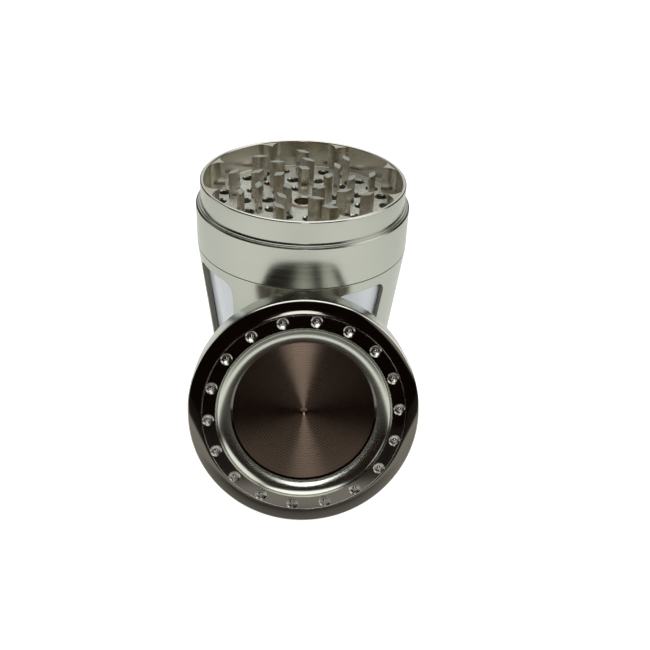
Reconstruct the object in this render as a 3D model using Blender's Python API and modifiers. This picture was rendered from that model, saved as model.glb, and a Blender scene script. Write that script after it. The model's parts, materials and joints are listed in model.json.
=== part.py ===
"""Four-part hand grinder with a windowed collector, its lid leaning against the body.

Metres, +Z up. The origin is the centre of the bowl's underside. The body stands on Z = 0, and the lid
stands on the edge of its skirt in front of it (-Y), leaning back on the joint between the chamber and
the collector.
"""

import math

import bmesh
import bpy
from mathutils import Matrix, Vector

# Driving dimensions
BODY_R = 0.0315            # outside radius of the lid and of the chamber
COLLAR_R = 0.0301          # collar that the lid slides over
RIM_Z = 0.0794             # top of the chamber's rim
LEDGE_Z = 0.0724           # ledge that the closed lid sits on
SEAM_Z = 0.0596            # joint between the chamber and the collector
BOWL_TOP_Z = 0.0140        # joint between the collector and the bowl
TAPER = math.tan(math.radians(6.55))
GAP = 0.0003               # clearance between pieces that touch
WALL = 0.0016              # collector wall
ROUND_STEPS = 48
SMALL_ROUND_STEPS = 32
EDGE = 0.0003              # chamfer on small edges
SINK = 0.0010              # how far a cutter or a joined piece reaches past a face

# Bowl
FOOT_EDGE = 0.0006
BOWL_FLOOR_CHAMFER = 0.0015

# Chamber
CHAMBER_BORE_R = 0.0290
FLOOR_Z = RIM_Z - 0.0084
FLOOR_THICKNESS = 0.0030
FLOOR_R = 0.0296
SKIRT_BORE_R = 0.0299
CUSP_COUNT = 8
CUSP_PHASE = math.radians(24.7)
CUSP_TIP_R = 0.0258
CUSP_FLANK_R = 0.0045
CUSP_DROP = 0.0010         # cusp tops below the rim
CUSP_ROOT_R = CHAMBER_BORE_R + 0.0002
CUSP_BACK_R = CHAMBER_BORE_R + 0.0005
CUSP_STEPS = 6
LEDGE_STEP_R = 0.0307
LEDGE_STEP = 0.0005
LEDGE_EDGE = 0.0004
RIM_EDGE = 0.0002
TOOTH_DROP = 0.0002        # tooth tops below the rim
HOLE_R = 0.00165
HOLE_SIDES = 10
CENTRE_BORE_R = 0.0026
CENTRE_RING_R = 0.0036
CENTRE_RING_HEIGHT = 0.0007
# (count, ring radius, phase in degrees, half length, half width) of the chamber's teeth
CHAMBER_TEETH = {
    "inner": (5, 0.0076, 91.6, 0.0019, 0.0014),
    "middle": (9, 0.0142, 86.9, 0.0023, 0.0011),
    "outer": (9, 0.0207, 93.4, 0.0023, 0.0011),
}
TOOTH_SKEW = math.radians(60)
TOOTH_END_SHARE = 0.2      # half width of a tooth's cut end, as a share of its half width
# (count, ring radius, phase in degrees) of the drop holes
HOLE_RINGS = (
    (10, 0.0105, 102.0),
    (14, 0.0173, 0.0),
    (24, 0.0245, 2.2),
)

# Thread collars, plain cylinders with running clearance
THREAD_COLLAR_HEIGHT = 0.0054
TOP_COLLAR_R = 0.0295
TOP_COLLAR_BORE_R = 0.0276
BOWL_COLLAR_R = 0.0242
BOWL_BORE_R = 0.0222
BOWL_SOCKET_R = 0.0246
BOWL_FLOOR = 0.0025
SOCKET_SHOULDER = 0.0016
NECK_DROP = 0.0006
NECK_CHAMFER = 0.0020

# Windows and panes
WINDOW_COUNT = 4
WINDOW_PHASE = math.radians(36.1)
WINDOW_TOP_Z = SEAM_Z - 0.0030
WINDOW_BOTTOM_Z = 0.0260
WINDOW_TOP_HALF = 0.0092
WINDOW_BOTTOM_HALF = 0.0063
WINDOW_CORNER_R = 0.0040
PANE_THICKNESS = 0.0012
PANE_MARGIN = 0.0013
PANE_DROP = 0.0002
PANE_STEPS = 96
WEDGE_STEPS = 10
WEDGE_R = 0.0400
CORNER_STEPS = 5
CUTTER_LOW_R = 0.0200
CUTTER_HIGH_R = 0.0360

# Sieve
SIEVE_Z = 0.0222
SIEVE_R = 0.0250
SIEVE_THICKNESS = 0.0004
SIEVE_RING_R = 0.0251
SIEVE_RING_BORE_R = 0.0237
SIEVE_RING_HEIGHT = 0.0012

# Lid: heights are measured along its axis from the open end of its skirt
LID_SIDE = 0.0090
LID_HEIGHT = 0.0123
LID_BORE_R = 0.0304
LID_CEILING = 0.0074
LID_LEAN = math.radians(19.4)      # lean back from upright
LID_AZIMUTH = math.radians(4.0)    # place round the body, from -Y towards +X
LID_GAP = 0.00035
COVE_STEPS = 6
LID_FACE_R = 0.0279
GROOVE_OUTER_R = 0.0276
GROOVE_INNER_R = 0.0273
GROOVE_DEPTH = 0.0003
COVE_OUTER_R = 0.0239
COVE_INNER_R = 0.0199
DISC_R = 0.0193
DISC_DEPTH = 0.0029
BEVEL_RISE = 0.0003
DIMPLE_COUNT = 18
DIMPLE_RING_R = 0.0258
DIMPLE_R = 0.0016
DIMPLE_DEPTH = 0.0004
DIMPLE_PHASE = math.radians(3.5)
DIMPLE_SIDES = 8
HUB_R = 0.0046
HUB_END = -0.0006
LID_MAGNET_R = 0.0032
MAGNET_THICKNESS = 0.0026
GLIDE_OUTER_R = 0.0301
GLIDE_INNER_R = 0.0284
GLIDE_THICKNESS = 0.0010
GLIDE_DROP = 0.0004
# (count, ring radius, phase in degrees, half length, half width) of the lid's teeth
LID_TEETH = (
    (7, 0.0109, 90.0, 0.0021, 0.0010),
    (9, 0.01745, 100.0, 0.0021, 0.0010),
    (9, 0.0239, 80.0, 0.0019, 0.0009),
)
LID_TOOTH_END = -0.0009

# Chamber magnet, in a pocket under the floor
BOSS_R = 0.0058
BOSS_BOTTOM_Z = 0.0632
POCKET_R = 0.0043
POCKET_TOP_Z = 0.0672
CHAMBER_MAGNET_R = 0.0040
CHAMBER_MAGNET_THICKNESS = 0.0030

PARTS = "hand_grinder"
CUTTERS = "cutters"


def clear_scene():
    for obj in list(bpy.data.objects):
        bpy.data.objects.remove(obj, do_unlink=True)


def collection(name):
    """Return a collection linked to the scene, made if it isn't there."""
    found = bpy.data.collections.get(name)
    if found is None:
        found = bpy.data.collections.new(name)
        bpy.context.scene.collection.children.link(found)
    return found


def finish(name, colour, roughness, metallic, alpha=1.0):
    """A plain Principled material."""
    material = bpy.data.materials.new(name)
    material.use_nodes = True
    shader = material.node_tree.nodes["Principled BSDF"]
    shader.inputs["Base Color"].default_value = (*colour, 1.0)
    shader.inputs["Roughness"].default_value = roughness
    shader.inputs["Metallic"].default_value = metallic
    shader.inputs["Alpha"].default_value = alpha
    return material


def add_part(obj, material, parent=None):
    """Put a part in the parts collection with its material."""
    obj.data.materials.append(material)
    collection(PARTS).objects.link(obj)
    obj.parent = parent


def add_cutter(obj, parent=None):
    """Hide a cutter from the renders and the build."""
    collection(CUTTERS).objects.link(obj)
    obj.hide_render = True
    obj.display_type = "WIRE"
    obj.parent = parent


def cone_r(z):
    """Outside radius of the tapered lower body at a height."""
    return BODY_R - (SEAM_Z - z) * TAPER


def polar(radius, angle):
    return Vector((radius * math.cos(angle), radius * math.sin(angle), 0.0))


def turned(name, profile, steps=ROUND_STEPS, closed=True):
    """Turn a profile of (radius, height) points about Z, listed down its outer side."""
    mesh = bpy.data.meshes.new(name)
    points = [(radius, 0.0, height) for radius, height in profile]
    edges = [(i, i + 1) for i in range(len(points) - 1)]
    if closed:
        edges.append((len(points) - 1, 0))
    mesh.from_pydata(points, edges, [])
    obj = bpy.data.objects.new(name, mesh)
    screw = obj.modifiers.new("turn", "SCREW")
    screw.axis = "Z"
    screw.angle = math.tau
    screw.steps = steps
    screw.render_steps = steps
    screw.use_merge_vertices = True
    screw.merge_threshold = 0.00001
    return obj


def prisms(name, outlines, low, high):
    """Extrude flat outlines (lists of XY points, anticlockwise) between two heights, as one mesh."""
    curve = bpy.data.curves.new(name, "CURVE")
    curve.dimensions = "2D"
    curve.fill_mode = "BOTH"
    curve.extrude = (high - low) / 2
    for outline in outlines:
        spline = curve.splines.new("POLY")
        spline.points.add(len(outline) - 1)
        for point, (x, y) in zip(spline.points, outline):
            point.co = (x, y, 0.0, 1.0)
        spline.use_cyclic_u = True
    flat = bpy.data.objects.new(name + "_outline", curve)
    bpy.context.scene.collection.objects.link(flat)
    bpy.context.view_layer.update()
    evaluated = flat.evaluated_get(bpy.context.evaluated_depsgraph_get())
    mesh = bpy.data.meshes.new_from_object(evaluated)
    bpy.data.objects.remove(flat, do_unlink=True)
    work = bmesh.new()
    work.from_mesh(mesh)
    bmesh.ops.remove_doubles(work, verts=work.verts, dist=0.000001)
    bmesh.ops.translate(work, verts=work.verts, vec=(0.0, 0.0, (low + high) / 2))
    bmesh.ops.recalc_face_normals(work, faces=work.faces)
    work.to_mesh(mesh)
    work.free()
    mesh.name = name
    return bpy.data.objects.new(name, mesh)


def boolean(obj, other, operation):
    modifier = obj.modifiers.new(operation.lower(), "BOOLEAN")
    modifier.operation = operation
    modifier.object = other
    modifier.solver = "EXACT"


def circle_outline(centre, radius, sides):
    return [
        (
            centre.x + radius * math.cos(math.tau * i / sides),
            centre.y + radius * math.sin(math.tau * i / sides),
        )
        for i in range(sides)
    ]


def tooth_outline(centre, direction, half_length, half_width):
    """A rhomb with its two sharp ends cut off, its long side along direction."""
    along = Vector((math.cos(direction), math.sin(direction), 0.0))
    across = Vector((-along.y, along.x, 0.0))
    end_half = half_width * TOOTH_END_SHARE
    corners = (
        along * half_length - across * end_half,
        along * half_length + across * end_half,
        across * half_width,
        -along * half_length + across * end_half,
        -along * half_length - across * end_half,
        -across * half_width,
    )
    return [(centre.x + c.x, centre.y + c.y) for c in corners]


def tooth_outlines(ring, skew):
    count, radius, phase, half_length, half_width = ring
    outlines = []
    for i in range(count):
        angle = math.radians(phase) + math.tau * i / count
        outlines.append(tooth_outline(polar(radius, angle), angle + skew, half_length, half_width))
    return outlines


def cusp_outline(angle):
    """A cusp with two concave flanks, from its tip back into the wall."""
    flank_centre_r = CUSP_ROOT_R - CUSP_FLANK_R
    cos_spread = flank_centre_r ** 2 + CUSP_TIP_R ** 2 - CUSP_FLANK_R ** 2
    cos_spread /= 2 * flank_centre_r * CUSP_TIP_R
    spread = math.acos(cos_spread)
    tip = polar(CUSP_TIP_R, 0.0)
    root = polar(CUSP_ROOT_R, spread)
    centre = polar(flank_centre_r, spread)
    start = math.atan2(tip.y - centre.y, tip.x - centre.x)
    end = math.atan2(root.y - centre.y, root.x - centre.x)
    flank = []
    for i in range(CUSP_STEPS + 1):
        turn = start + (end - start) * i / CUSP_STEPS
        flank.append(centre + polar(CUSP_FLANK_R, turn))
    upper = flank[1:] + [polar(CUSP_BACK_R, spread)]
    lower = [Vector((p.x, -p.y, 0.0)) for p in reversed(upper)]
    turn = Matrix.Rotation(angle, 3, "Z")
    points = [turn @ p for p in lower + [tip] + upper]
    return [(p.x, p.y) for p in reversed(points)]


def kief_bowl(material):
    obj = turned(
        "kief_bowl",
        [
            (0.0, BOWL_FLOOR),
            (BOWL_BORE_R - BOWL_FLOOR_CHAMFER, BOWL_FLOOR),
            (BOWL_BORE_R, BOWL_FLOOR + BOWL_FLOOR_CHAMFER),
            (BOWL_BORE_R, BOWL_TOP_Z + THREAD_COLLAR_HEIGHT),
            (BOWL_COLLAR_R, BOWL_TOP_Z + THREAD_COLLAR_HEIGHT),
            (BOWL_COLLAR_R, BOWL_TOP_Z),
            (cone_r(BOWL_TOP_Z), BOWL_TOP_Z),
            (cone_r(FOOT_EDGE), FOOT_EDGE),
            (cone_r(0.0) - FOOT_EDGE, 0.0),
            (0.0, 0.0),
        ],
        closed=False,
    )
    add_part(obj, material)


def window_outline():
    """A tall window, narrower at its foot, with round corners; X across, Y up."""
    corners = (
        (WINDOW_BOTTOM_HALF, WINDOW_BOTTOM_Z, 1),
        (WINDOW_TOP_HALF, WINDOW_TOP_Z, 1),
        (-WINDOW_TOP_HALF, WINDOW_TOP_Z, -1),
        (-WINDOW_BOTTOM_HALF, WINDOW_BOTTOM_Z, -1),
    )
    outline = []
    for i, (x, y, side) in enumerate(corners):
        top = y == WINDOW_TOP_Z
        centre = (x - side * WINDOW_CORNER_R, y - (1 if top else -1) * WINDOW_CORNER_R)
        first = math.pi / 2 * (i - 1)
        for k in range(CORNER_STEPS + 1):
            turn = first + math.pi / 2 * k / CORNER_STEPS
            px = centre[0] + WINDOW_CORNER_R * math.cos(turn)
            py = centre[1] + WINDOW_CORNER_R * math.sin(turn)
            outline.append((px, py))
    return outline


def window_frame(material):
    foot_z = BOWL_TOP_Z + GAP
    seat_z = SIEVE_Z - GAP
    socket_top = seat_z - SOCKET_SHOULDER
    neck_z = SEAM_Z - NECK_DROP
    chamfer_z = neck_z - NECK_CHAMFER
    obj = turned(
        "window_frame",
        [
            (TOP_COLLAR_R, SEAM_Z + THREAD_COLLAR_HEIGHT),
            (TOP_COLLAR_R, SEAM_Z),
            (BODY_R, SEAM_Z),
            (cone_r(foot_z), foot_z),
            (BOWL_SOCKET_R, foot_z),
            (BOWL_SOCKET_R, socket_top),
            (SIEVE_RING_BORE_R, socket_top),
            (SIEVE_RING_BORE_R, seat_z),
            (cone_r(seat_z) - WALL, seat_z),
            (cone_r(chamfer_z) - WALL, chamfer_z),
            (TOP_COLLAR_BORE_R, neck_z),
            (TOP_COLLAR_BORE_R, SEAM_Z + THREAD_COLLAR_HEIGHT),
        ],
    )
    for i in range(WINDOW_COUNT):
        name = f"window_cutter_{i + 1}"
        cutter = prisms(name, [window_outline()], CUTTER_LOW_R, CUTTER_HIGH_R)
        angle = WINDOW_PHASE + math.tau * i / WINDOW_COUNT
        stand = Matrix(((0, 0, 1), (1, 0, 0), (0, 1, 0))).to_4x4()
        cutter.matrix_world = Matrix.Rotation(angle, 4, "Z") @ stand
        add_cutter(cutter)
        boolean(obj, cutter, "DIFFERENCE")
    add_part(obj, material)


def window_panes(material):
    """One curved pane behind each window, a wedge of one conical sheet."""
    low = WINDOW_BOTTOM_Z - PANE_MARGIN
    high = WINDOW_TOP_Z - PANE_DROP
    half_angle = math.asin((WINDOW_TOP_HALF + PANE_MARGIN) / cone_r(high))
    for i in range(WINDOW_COUNT):
        angle = WINDOW_PHASE + math.tau * i / WINDOW_COUNT
        name = f"window_pane_{i + 1}"
        outer = WALL + GAP
        pane = turned(
            name,
            [
                (cone_r(high) - outer, high),
                (cone_r(low) - outer, low),
                (cone_r(low) - outer - PANE_THICKNESS, low),
                (cone_r(high) - outer - PANE_THICKNESS, high),
            ],
            steps=PANE_STEPS,
        )
        outline = [(0.0, 0.0)]
        for k in range(WEDGE_STEPS + 1):
            point = polar(WEDGE_R, angle + half_angle * (2 * k / WEDGE_STEPS - 1))
            outline.append((point.x, point.y))
        wedge = prisms(f"pane_wedge_{i + 1}", [outline], low - SINK, high + SINK)
        add_cutter(wedge)
        boolean(pane, wedge, "INTERSECT")
        add_part(pane, material)


def sieve(mesh_material, ring_material):
    screen = turned(
        "sieve_screen",
        [
            (0.0, SIEVE_Z + SIEVE_THICKNESS),
            (SIEVE_R, SIEVE_Z + SIEVE_THICKNESS),
            (SIEVE_R, SIEVE_Z),
            (0.0, SIEVE_Z),
        ],
        closed=False,
    )
    add_part(screen, mesh_material)
    low = SIEVE_Z + SIEVE_THICKNESS + GAP
    ring = turned(
        "sieve_ring",
        [
            (SIEVE_RING_BORE_R + EDGE, low + SIEVE_RING_HEIGHT),
            (SIEVE_RING_R - EDGE, low + SIEVE_RING_HEIGHT),
            (SIEVE_RING_R, low + SIEVE_RING_HEIGHT - EDGE),
            (SIEVE_RING_R, low),
            (SIEVE_RING_BORE_R, low),
            (SIEVE_RING_BORE_R, low + SIEVE_RING_HEIGHT - EDGE),
        ],
    )
    add_part(ring, ring_material)


def chamber_wall(material):
    """The chamber's outside, its skirt and its cusps; the floor stands up against its step."""
    foot_z = SEAM_Z + GAP
    step_z = FLOOR_Z + GAP
    obj = turned(
        "chamber_wall",
        [
            (CHAMBER_BORE_R, step_z),
            (CHAMBER_BORE_R, RIM_Z - RIM_EDGE),
            (CHAMBER_BORE_R + RIM_EDGE, RIM_Z),
            (COLLAR_R - EDGE, RIM_Z),
            (COLLAR_R, RIM_Z - EDGE),
            (COLLAR_R, LEDGE_Z + LEDGE_STEP),
            (LEDGE_STEP_R, LEDGE_Z + LEDGE_STEP),
            (LEDGE_STEP_R, LEDGE_Z),
            (BODY_R - LEDGE_EDGE, LEDGE_Z),
            (BODY_R, LEDGE_Z - LEDGE_EDGE),
            (BODY_R, foot_z),
            (SKIRT_BORE_R, foot_z),
            (SKIRT_BORE_R, step_z),
        ],
    )
    cusps = [cusp_outline(CUSP_PHASE + math.tau * i / CUSP_COUNT) for i in range(CUSP_COUNT)]
    cusp_ring = prisms("cusp_ring", cusps, step_z + RIM_EDGE, RIM_Z - CUSP_DROP)
    add_cutter(cusp_ring)
    boolean(obj, cusp_ring, "UNION")
    add_part(obj, material)


def chamber_floor(material):
    """The pierced floor, with its centre bore and the boss that holds the magnet."""
    under_z = FLOOR_Z - FLOOR_THICKNESS
    ring_z = FLOOR_Z + CENTRE_RING_HEIGHT
    obj = turned(
        "chamber_floor",
        [
            (CENTRE_RING_R, ring_z),
            (CENTRE_RING_R, FLOOR_Z),
            (FLOOR_R, FLOOR_Z),
            (FLOOR_R, under_z),
            (BOSS_R, under_z),
            (BOSS_R, BOSS_BOTTOM_Z),
            (POCKET_R, BOSS_BOTTOM_Z),
            (POCKET_R, POCKET_TOP_Z),
            (CENTRE_BORE_R, POCKET_TOP_Z),
            (CENTRE_BORE_R, ring_z),
        ],
    )
    holes = []
    for count, radius, phase in HOLE_RINGS:
        for i in range(count):
            angle = math.radians(phase) + math.tau * i / count
            holes.append(circle_outline(polar(radius, angle), HOLE_R, HOLE_SIDES))
    drop_holes = prisms("drop_holes", holes, under_z - SINK, FLOOR_Z + SINK)
    add_cutter(drop_holes)
    boolean(obj, drop_holes, "DIFFERENCE")
    add_part(obj, material)


def chamber_teeth(material):
    """Each tooth is a pin of its own that stands on the floor."""
    for name, ring in CHAMBER_TEETH.items():
        for i, outline in enumerate(tooth_outlines(ring, TOOTH_SKEW)):
            tooth = prisms(f"{name}_tooth_{i + 1}", [outline], FLOOR_Z + GAP, RIM_Z - TOOTH_DROP)
            add_part(tooth, material)


def chamber_magnet(material):
    high = POCKET_TOP_Z - GAP
    low = high - CHAMBER_MAGNET_THICKNESS
    obj = turned(
        "chamber_magnet",
        [(0.0, high), (CHAMBER_MAGNET_R, high), (CHAMBER_MAGNET_R, low), (0.0, low)],
        steps=SMALL_ROUND_STEPS,
        closed=False,
    )
    add_part(obj, material)


def lid_profile():
    rise = DISC_DEPTH - BEVEL_RISE
    cove = []
    for i in range(COVE_STEPS + 1):
        turn = math.pi / 2 * i / COVE_STEPS
        radius = COVE_INNER_R + (COVE_OUTER_R - COVE_INNER_R) * math.sin(turn)
        height = LID_HEIGHT - rise * math.cos(turn)
        cove.append((radius, height))
    disc_z = LID_HEIGHT - DISC_DEPTH
    glide_top = LID_CEILING + GLIDE_THICKNESS - GLIDE_DROP + GAP
    return (
        [(0.0, disc_z), (DISC_R, disc_z)]
        + cove
        + [
            (GROOVE_INNER_R, LID_HEIGHT),
            (GROOVE_INNER_R, LID_HEIGHT - GROOVE_DEPTH),
            (GROOVE_OUTER_R, LID_HEIGHT - GROOVE_DEPTH),
            (GROOVE_OUTER_R, LID_HEIGHT),
            (LID_FACE_R, LID_HEIGHT),
            (BODY_R, LID_SIDE),
            (BODY_R, 0.0),
            (LID_BORE_R, 0.0),
            (LID_BORE_R, glide_top),
            (GLIDE_INNER_R - GAP, glide_top),
            (GLIDE_INNER_R - GAP, LID_CEILING),
            (HUB_R, LID_CEILING),
            (HUB_R, HUB_END),
            (LID_MAGNET_R + GAP, HUB_END),
            (LID_MAGNET_R + GAP, HUB_END + MAGNET_THICKNESS + 2 * GAP),
            (0.0, HUB_END + MAGNET_THICKNESS + 2 * GAP),
        ]
    )


def lid_cap(material, lid_axis):
    obj = turned("lid_cap", lid_profile(), closed=False)
    outlines = []
    for ring in LID_TEETH:
        outlines += tooth_outlines(ring, -TOOTH_SKEW)
    teeth = prisms("lid_teeth", outlines, LID_TOOTH_END, LID_CEILING + EDGE)
    add_cutter(teeth, lid_axis)
    boolean(obj, teeth, "UNION")
    dimples = []
    for i in range(DIMPLE_COUNT):
        angle = DIMPLE_PHASE + math.tau * i / DIMPLE_COUNT
        dimples.append(circle_outline(polar(DIMPLE_RING_R, angle), DIMPLE_R, DIMPLE_SIDES))
    cutter = prisms("lid_dimples", dimples, LID_HEIGHT - DIMPLE_DEPTH, LID_HEIGHT + SINK)
    add_cutter(cutter, lid_axis)
    boolean(obj, cutter, "DIFFERENCE")
    add_part(obj, material, lid_axis)


def lid_magnet(material, lid_axis):
    low = HUB_END + GAP
    high = low + MAGNET_THICKNESS
    obj = turned(
        "lid_magnet",
        [(0.0, high), (LID_MAGNET_R, high), (LID_MAGNET_R, low), (0.0, low)],
        steps=SMALL_ROUND_STEPS,
        closed=False,
    )
    add_part(obj, material, lid_axis)


def lid_glide_ring(material, lid_axis):
    low = LID_CEILING - GLIDE_DROP
    high = low + GLIDE_THICKNESS
    obj = turned(
        "lid_glide_ring",
        [
            (GLIDE_OUTER_R, high),
            (GLIDE_OUTER_R, low),
            (GLIDE_INNER_R, low),
            (GLIDE_INNER_R, high),
        ],
    )
    add_part(obj, material, lid_axis)


def lid_placement():
    """The lid stands on the edge of its skirt and leans back on the body."""
    reach = BODY_R + LID_GAP + BODY_R * math.sin(LID_LEAN)
    out = Vector((math.sin(LID_AZIMUTH), -math.cos(LID_AZIMUTH), 0.0))
    place = out * reach + Vector((0.0, 0.0, BODY_R * math.cos(LID_LEAN)))
    turn = Matrix.Rotation(LID_AZIMUTH, 4, "Z")
    lean = Matrix.Rotation(math.pi / 2 - LID_LEAN, 4, "X")
    return Matrix.Translation(place) @ turn @ lean


def main():
    clear_scene()
    lid_axis = bpy.data.objects.new("lid_axis", None)
    collection(PARTS).objects.link(lid_axis)
    lid_axis.matrix_world = lid_placement()
    nickel = finish("satin_nickel", (0.66, 0.66, 0.60), 0.22, 1.0)
    cast = finish("cast_nickel", (0.60, 0.58, 0.52), 0.35, 1.0)
    polished = finish("polished_nickel", (0.70, 0.68, 0.63), 0.08, 1.0)
    clear = finish("clear_acrylic", (0.80, 0.86, 0.90), 0.05, 0.0, 0.35)
    woven = finish("woven_steel", (0.50, 0.50, 0.48), 0.40, 1.0)
    spring = finish("ring_steel", (0.55, 0.55, 0.53), 0.30, 1.0)
    magnet = finish("magnet_plate", (0.62, 0.60, 0.56), 0.15, 1.0)
    nylon = finish("white_nylon", (0.85, 0.85, 0.82), 0.45, 0.0)
    kief_bowl(nickel)
    window_frame(nickel)
    window_panes(clear)
    sieve(woven, spring)
    chamber_wall(nickel)
    chamber_floor(cast)
    chamber_teeth(cast)
    chamber_magnet(magnet)
    lid_cap(polished, lid_axis)
    lid_magnet(magnet, lid_axis)
    lid_glide_ring(nylon, lid_axis)


main()
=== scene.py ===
"""Looks of a hand grinder with a windowed collector, its lid leaning against the body."""

import json
import math

import bpy
from bpy.props import FloatProperty, FloatVectorProperty, IntProperty, PointerProperty
from bpy.types import Operator, Panel, PropertyGroup
from mathutils import Matrix, Vector


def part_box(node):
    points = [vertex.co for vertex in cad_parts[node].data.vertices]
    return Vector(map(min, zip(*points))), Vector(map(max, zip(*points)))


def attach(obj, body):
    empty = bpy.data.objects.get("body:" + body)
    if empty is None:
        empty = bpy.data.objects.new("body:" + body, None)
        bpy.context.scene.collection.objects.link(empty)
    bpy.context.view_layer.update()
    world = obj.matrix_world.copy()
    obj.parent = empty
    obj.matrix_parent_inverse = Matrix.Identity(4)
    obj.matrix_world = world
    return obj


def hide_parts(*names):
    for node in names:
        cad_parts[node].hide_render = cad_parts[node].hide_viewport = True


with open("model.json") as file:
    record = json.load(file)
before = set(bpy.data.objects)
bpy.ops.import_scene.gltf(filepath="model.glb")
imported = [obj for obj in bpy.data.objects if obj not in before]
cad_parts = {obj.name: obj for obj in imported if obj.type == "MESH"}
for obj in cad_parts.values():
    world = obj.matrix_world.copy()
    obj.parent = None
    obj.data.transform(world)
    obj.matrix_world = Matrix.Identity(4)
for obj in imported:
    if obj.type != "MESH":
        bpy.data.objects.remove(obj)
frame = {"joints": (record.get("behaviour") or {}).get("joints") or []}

bl_info = {
    "name": "Hand Grinder",
    "version": (1, 0, 0),
    "blender": (4, 5, 0),
    "location": "View3D > Sidebar > Grinder",
    "description": "Builds a hand grinder's visible pieces, their finishes and a studio",
    "category": "Add Mesh",
}

MM = 0.001
GAP = 0.3 * MM
BODY_STEPS = 224
SMALL_STEPS = 64
FLOOR_SURFACE = -0.02 * MM
MERGE = 0.002 * MM
WAVE = 0.10 * MM
THREAD_CLEAR = (0.9 * MM, 0.8 * MM)
SATIN, BODY_SATIN = 0.20, 0.21
JOINTS = {joint["name"]: joint for joint in frame["joints"]}


def span(node):
    """A round CAD node's foot, top and radius."""
    low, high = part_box(node)
    return low.z, high.z, high.x


CHAMBER_FOOT_Z, RIM_Z, BODY_R = span("chamber_wall")
FRAME_FOOT_Z, COLLAR_TOP_Z, _ = span("window_frame")
_, BOWL_COLLAR_Z, BOWL_R = span("kief_bowl")
SIEVE_LOW_Z, SIEVE_HIGH_Z, SIEVE_R = span("sieve_screen")
RING_LOW_Z, RING_HIGH_Z, RING_R = span("sieve_ring")
MAGNET_LOW_Z, MAGNET_HIGH_Z, MAGNET_R = span("chamber_magnet")
BOSS_Z, _, _ = span("chamber_floor")
SEAM_Z = CHAMBER_FOOT_Z - GAP / 2
BOWL_TOP_Z = FRAME_FOOT_Z - GAP
TAPER = (BODY_R - BOWL_R) / (SEAM_Z - BOWL_TOP_Z)


def metres(millimetres, note):
    return FloatProperty(description=note, default=millimetres * MM, precision=5, unit="LENGTH")


def degrees(value, note):
    return FloatProperty(description=note, default=math.radians(value), unit="ROTATION")


def colour(value, note):
    return FloatVectorProperty(description=note, default=value, min=0.0, max=1.0, subtype="COLOR")


def count(value, note):
    return IntProperty(description=note, default=value, min=1)


class GrinderBodySizes(PropertyGroup):
    wall: metres(1.6, "Thickness of the collector's wall")
    top_collar_radius: metres(29.5, "Collar that the chamber screws onto")
    top_collar_bore: metres(27.6, "Bore of that collar")
    bowl_collar_radius: metres(24.2, "Collar that the collector screws onto")
    bowl_bore: metres(22.2, "Inside radius of the bowl")
    bowl_floor: metres(2.5, "Thickness of the bowl's floor")
    bowl_socket: metres(24.6, "Bore of the collector's lower socket")
    sieve_seat: metres(23.7, "Bore of the step under the sieve")
    thread_pitch: metres(2.0, "Rise of the threads in a turn")
    thread_height: metres(0.24, "How far the threads stand out")
    window_phase: degrees(36.1, "Angle of the first window")
    window_top: metres(56.6, "Height of the windows' tops")
    window_bottom: metres(26.0, "Height of the windows' feet")
    window_top_half: metres(9.2, "Half of a window's width at its top")
    window_bottom_half: metres(6.3, "Half of a window's width at its foot")
    window_corner: metres(4.0, "Radius of the windows' corners")
    pane_thickness: metres(1.2, "Thickness of the clear panes")
    mesh_pitch: metres(1.0, "Distance between the sieve's wires")
    mesh_wire: metres(0.09, "Radius of the sieve's wires")


class GrinderChamberSizes(PropertyGroup):
    bore: metres(29.0, "Inside radius of the chamber")
    collar_radius: metres(30.1, "Radius of the collar inside the lid")
    floor_drop: metres(8.4, "Depth of the floor below the rim")
    floor_thickness: metres(3.0, "Thickness of the pierced floor")
    ledge_drop: metres(7.0, "Depth of the lid's ledge below the rim")
    cusps: count(8, "Pointed ribs round the wall")
    cusp_phase: degrees(24.7, "Angle of the first cusp")
    cusp_tip: metres(25.8, "Radius at which the cusps end")
    cusp_flank: metres(4.5, "Radius of the cusps' hollow flanks")
    hole_radius: metres(1.65, "Radius of the drop holes")
    centre_bore: metres(2.6, "Radius of the hole over the magnet")


class GrinderLidSizes(PropertyGroup):
    side: metres(9.0, "Height of the lid's upright side")
    height: metres(12.03, "Height of the lid's outer ring")
    face_radius: metres(27.9, "Where the edge chamfer meets the face")
    groove_radius: metres(27.45, "Middle of the fine groove round the face")
    cove_outer: metres(23.9, "Outer radius of the hollow step")
    cove_inner: metres(19.9, "Inner radius of the hollow step")
    disc_radius: metres(19.3, "Radius of the sunk turned disc")
    disc_drop: metres(2.9, "Depth of the disc below the face")
    dimples: count(18, "Dimples round the face")
    dimple_ring: metres(25.8, "Radius of the circle of dimples")
    dimple_radius: metres(1.6, "Radius of a dimple")
    dimple_phase: degrees(3.5, "Angle of the first dimple")
    skirt_bore: metres(30.4, "Bore that slips over the chamber's collar")
    ceiling: metres(7.4, "Height of the lid's underside")
    ring_seat: metres(8.1, "Height of the groove for the nylon ring")
    ring_seat_inner: metres(28.1, "Inner radius of that groove")
    ring_outer: metres(30.1, "Outer radius of the nylon ring")
    ring_inner: metres(28.4, "Inner radius of the nylon ring")
    ring_low: metres(7.0, "Height of the ring's running face")
    ring_high: metres(8.0, "Height of the ring's back")
    hub_radius: metres(4.6, "Radius of the hub that holds the magnet")
    hub_bore: metres(3.5, "Radius of the magnet's pocket")
    hub_end: metres(-0.6, "Height of the hub's end")
    hub_pocket: metres(2.6, "Height of the pocket's bottom")
    magnet_radius: metres(3.2, "Radius of the lid's magnet")
    magnet_low: metres(-0.3, "Height of the magnet's lower face")
    magnet_high: metres(2.3, "Height of the magnet's upper face")


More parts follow.
